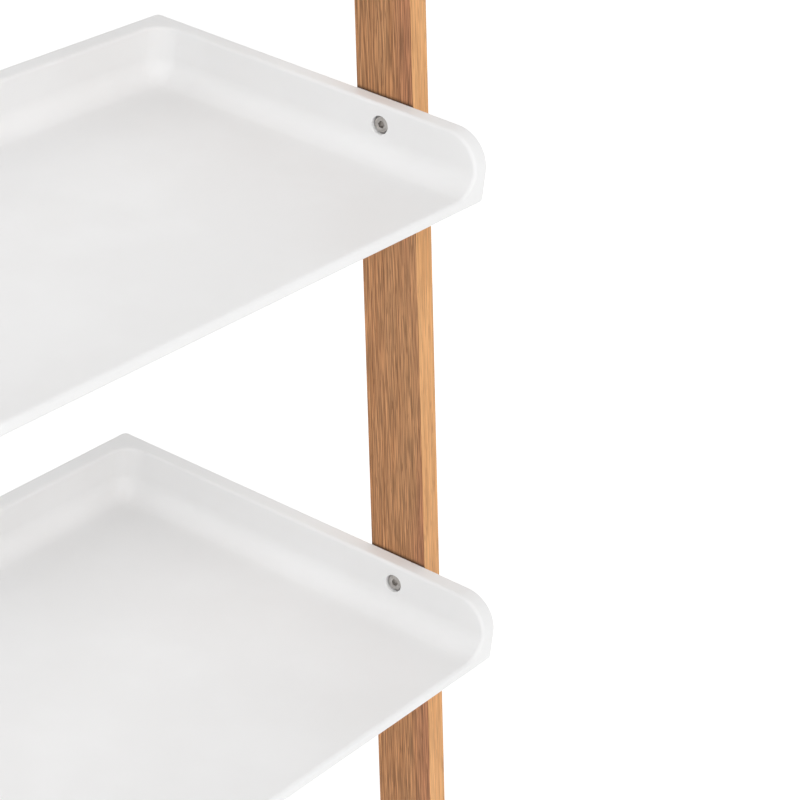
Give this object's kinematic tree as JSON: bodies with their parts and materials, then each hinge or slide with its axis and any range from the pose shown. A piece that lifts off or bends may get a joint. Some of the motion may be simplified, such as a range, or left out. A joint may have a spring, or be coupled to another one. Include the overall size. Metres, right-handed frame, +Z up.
{
  "type": "ladder shelf",
  "caption": "Ladder shelf that leans on a wall: white moulded trays with side and back lips, bolted between leaning oak stiles, deeper towards the floor.",
  "frame": {"origin": "on the floor, at the middle of the bounding box", "axes": "+Z up, +Y towards the wall, +X to the right when facing the shelf"},
  "size_m": [0.7, 0.4314, 2.04],
  "materials": {
    "white_tray": "moulded, satin white",
    "oak": "oiled oak, straight grain",
    "bolt_steel": "warm grey, low sheen",
    "zinc_steel": "zinc plated",
    "brass_insert": "turned",
    "black_rubber": "matt",
    "white_bracket": "powder coat, satin white"
  },
  "bodies": {
    "root": {"tray_1": "white_tray", "tray_2": "white_tray", "tray_3": "white_tray", "tray_4": "white_tray", "tray_5": "white_tray", "left_stile": "oak", "left_tray_bolts": "bolt_steel", "left_bolt_sleeves": "zinc_steel", "left_insert_nuts": "brass_insert", "left_dowels": "zinc_steel", "left_foot_pad": "black_rubber", "left_wall_pad": "black_rubber", "left_wall_bracket": "white_bracket", "left_bracket_screws": "zinc_steel", "right_stile": "oak", "right_tray_bolts": "bolt_steel", "right_bolt_sleeves": "zinc_steel", "right_insert_nuts": "brass_insert", "right_dowels": "zinc_steel", "right_foot_pad": "black_rubber", "right_wall_pad": "black_rubber", "right_wall_bracket": "white_bracket", "right_bracket_screws": "zinc_steel"}
  },
  "joints": []
}
